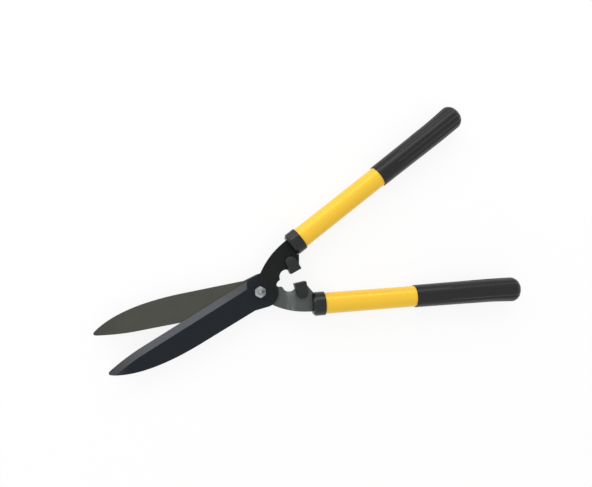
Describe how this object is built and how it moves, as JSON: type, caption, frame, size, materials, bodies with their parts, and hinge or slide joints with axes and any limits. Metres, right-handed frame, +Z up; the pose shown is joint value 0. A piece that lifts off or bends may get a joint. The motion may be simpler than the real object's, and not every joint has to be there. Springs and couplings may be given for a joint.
{
  "type": "hedge shears",
  "caption": "Hand hedge shears with crossed straight steel blades on a pivot bolt, rubber bumpers, round yellow tube handles and black fluted grips.",
  "frame": {"origin": "middle of the pivot bolt's lower end face", "axes": "+X runs from the pivot to the handles along the middle of the opening, +Y towards the front half's handle, +Z up the pivot bolt towards its head"},
  "size_m": [0.4943, 0.2546, 0.0309],
  "materials": {
    "black_blade": "black baked coating on stamped steel, semi-gloss",
    "grey_blade": "ground steel, dark oiled grey",
    "bumper_rubber": "moulded, matt",
    "collar_plastic": "moulded, satin",
    "yellow_paint": "yellow enamel on steel tube, semi-gloss",
    "core_plastic": "moulded, plain",
    "grip_rubber": "soft moulded vinyl, satin",
    "zinc_steel": "bright zinc plate",
    "spring_steel": "oiled spring steel",
    "nylon": "plain nylon"
  },
  "bodies": {
    "front_half": {"front_blade": "black_blade", "front_bumper": "bumper_rubber", "front_ferrule": "collar_plastic", "front_tube": "yellow_paint", "front_tang_plug": "core_plastic", "front_tang_pin": "zinc_steel", "front_tube_end_cap": "core_plastic", "front_grip": "grip_rubber", "pivot_bolt": "zinc_steel", "flat_washer": "zinc_steel", "wave_washer": "spring_steel", "lock_nut": "zinc_steel", "nut_insert": "nylon"},
    "rear_half": {"rear_blade": "grey_blade", "rear_bumper": "bumper_rubber", "rear_ferrule": "collar_plastic", "rear_tube": "yellow_paint", "rear_tang_plug": "core_plastic", "rear_tang_pin": "zinc_steel", "rear_tube_end_cap": "core_plastic", "rear_grip": "grip_rubber"}
  },
  "joints": [
    {"name": "blade_pivot", "type": "hinge", "parent": "front_half", "child": "rear_half", "pos_m": [0, 0, 0.01645], "axis": [0, 0, -1], "range_deg": [-15.8, 50]}
  ]
}
